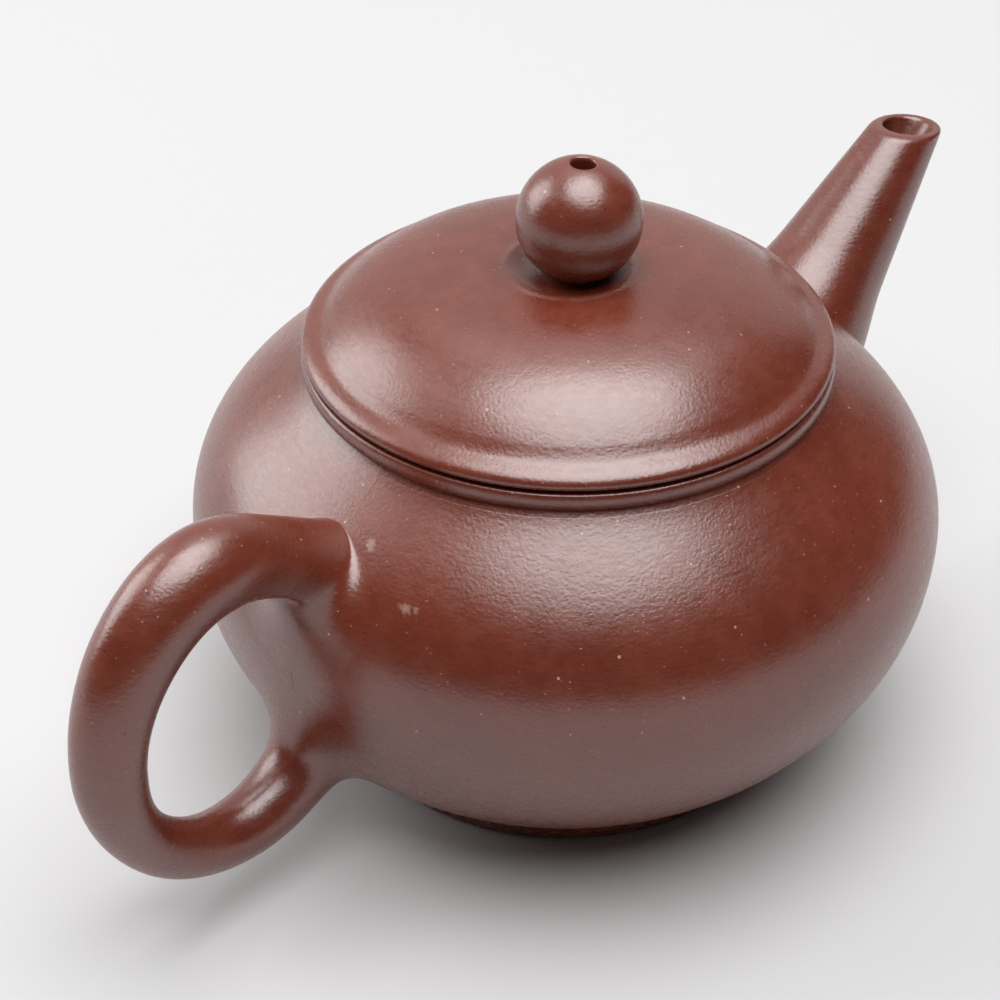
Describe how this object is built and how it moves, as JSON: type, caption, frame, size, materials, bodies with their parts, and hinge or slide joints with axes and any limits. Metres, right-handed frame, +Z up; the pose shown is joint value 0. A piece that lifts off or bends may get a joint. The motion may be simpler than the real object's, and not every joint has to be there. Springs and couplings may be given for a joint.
{
  "type": "clay teapot",
  "caption": "Rounded unglazed clay teapot with a straight tapered spout, a looped side handle and a domed lift-off lid with a pierced ball knob.",
  "frame": {"origin": "centre of the foot ring, on the surface that the pot stands on", "axes": "+Z up through the knob, +X from the middle of the pot to the spout, -X to the handle"},
  "size_m": [0.1249, 0.0774, 0.0641],
  "materials": {
    "burnished_clay": "satin",
    "bare_clay": "matte"
  },
  "bodies": {
    "pot": {"belly_wall": "burnished_clay", "shoulder_disc": "burnished_clay", "base_disc": "burnished_clay", "foot_ring": "burnished_clay", "neck_collar": "burnished_clay", "mouth_ring": "burnished_clay", "spout": "burnished_clay", "spout_strainer": "bare_clay", "handle": "burnished_clay"},
    "lid": {"lid_rim": "burnished_clay", "lid_dome": "burnished_clay", "lid_flange": "bare_clay", "knob": "burnished_clay"}
  },
  "joints": [
    {"name": "lid_lift", "type": "slide", "parent": "pot", "child": "lid", "axis": [0, 0, 1], "range_m": [0, 0.05]}
  ]
}
